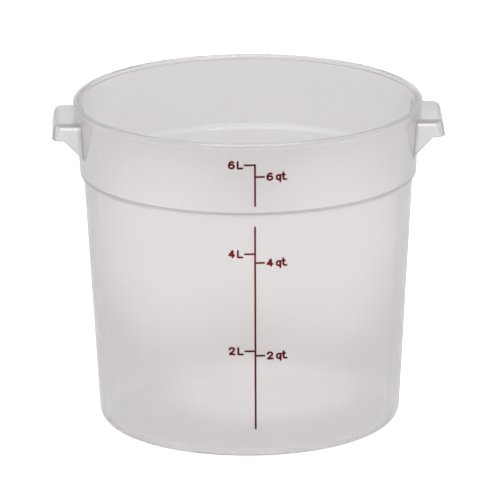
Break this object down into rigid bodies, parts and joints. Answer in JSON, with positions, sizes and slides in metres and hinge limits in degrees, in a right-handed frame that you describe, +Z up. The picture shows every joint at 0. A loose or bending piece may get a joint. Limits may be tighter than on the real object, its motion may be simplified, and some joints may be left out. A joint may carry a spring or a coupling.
{
  "type": "food storage container",
  "caption": "Open round tub of translucent polypropylene for proofing dough, tapered, with a stepped collar, a rim bead, moulded grip lugs and a printed litre and quart scale.",
  "frame": {"origin": "centre of the foot on the surface that the tub stands on", "axes": "+Z up along the tub's axis, +X through the grip lug on the right of the scale, -Y towards the printed scale"},
  "size_m": [0.2488, 0.222, 0.21],
  "materials": {
    "polypropylene": "natural translucent polypropylene, smooth satin",
    "scale_ink": "dark maroon screen-printed ink"
  },
  "bodies": {
    "root": {"container_body": "polypropylene", "scale_line_upper": "scale_ink", "scale_line_lower": "scale_ink", "litre_tick_2": "scale_ink", "litre_tick_4": "scale_ink", "litre_tick_6": "scale_ink", "quart_tick_2": "scale_ink", "quart_tick_4": "scale_ink", "quart_tick_6": "scale_ink"}
  },
  "joints": []
}
